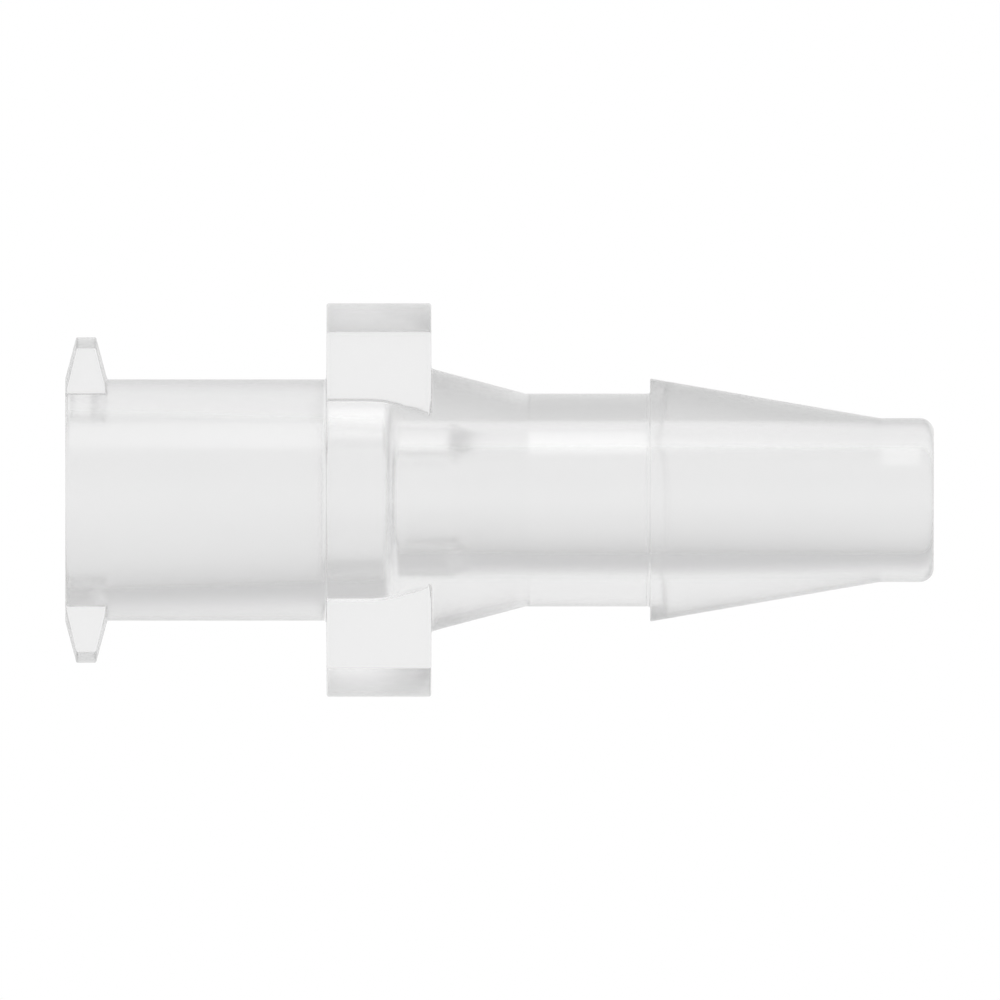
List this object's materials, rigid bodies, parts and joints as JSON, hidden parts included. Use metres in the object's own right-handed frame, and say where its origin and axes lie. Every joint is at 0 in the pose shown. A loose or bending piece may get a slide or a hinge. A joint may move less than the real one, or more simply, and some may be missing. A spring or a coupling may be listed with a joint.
{
  "type": "luer lock fitting",
  "caption": "Female luer lock hub with locking lugs and a flatted grip collar, joined by a cone and neck to a single hose barb; passage right through.",
  "frame": {"origin": "centre of the luer end face, which is the base the fitting stands on", "axes": "+Z along the passage from the luer face to the barb's end; +X through the two locking lugs and the long way of the collar"},
  "size_m": [0.0094, 0.0068, 0.0207],
  "materials": {
    "natural_plastic": "translucent natural polypropylene, smooth moulded surface"
  },
  "bodies": {
    "root": {"fitting": "natural_plastic"}
  },
  "joints": []
}
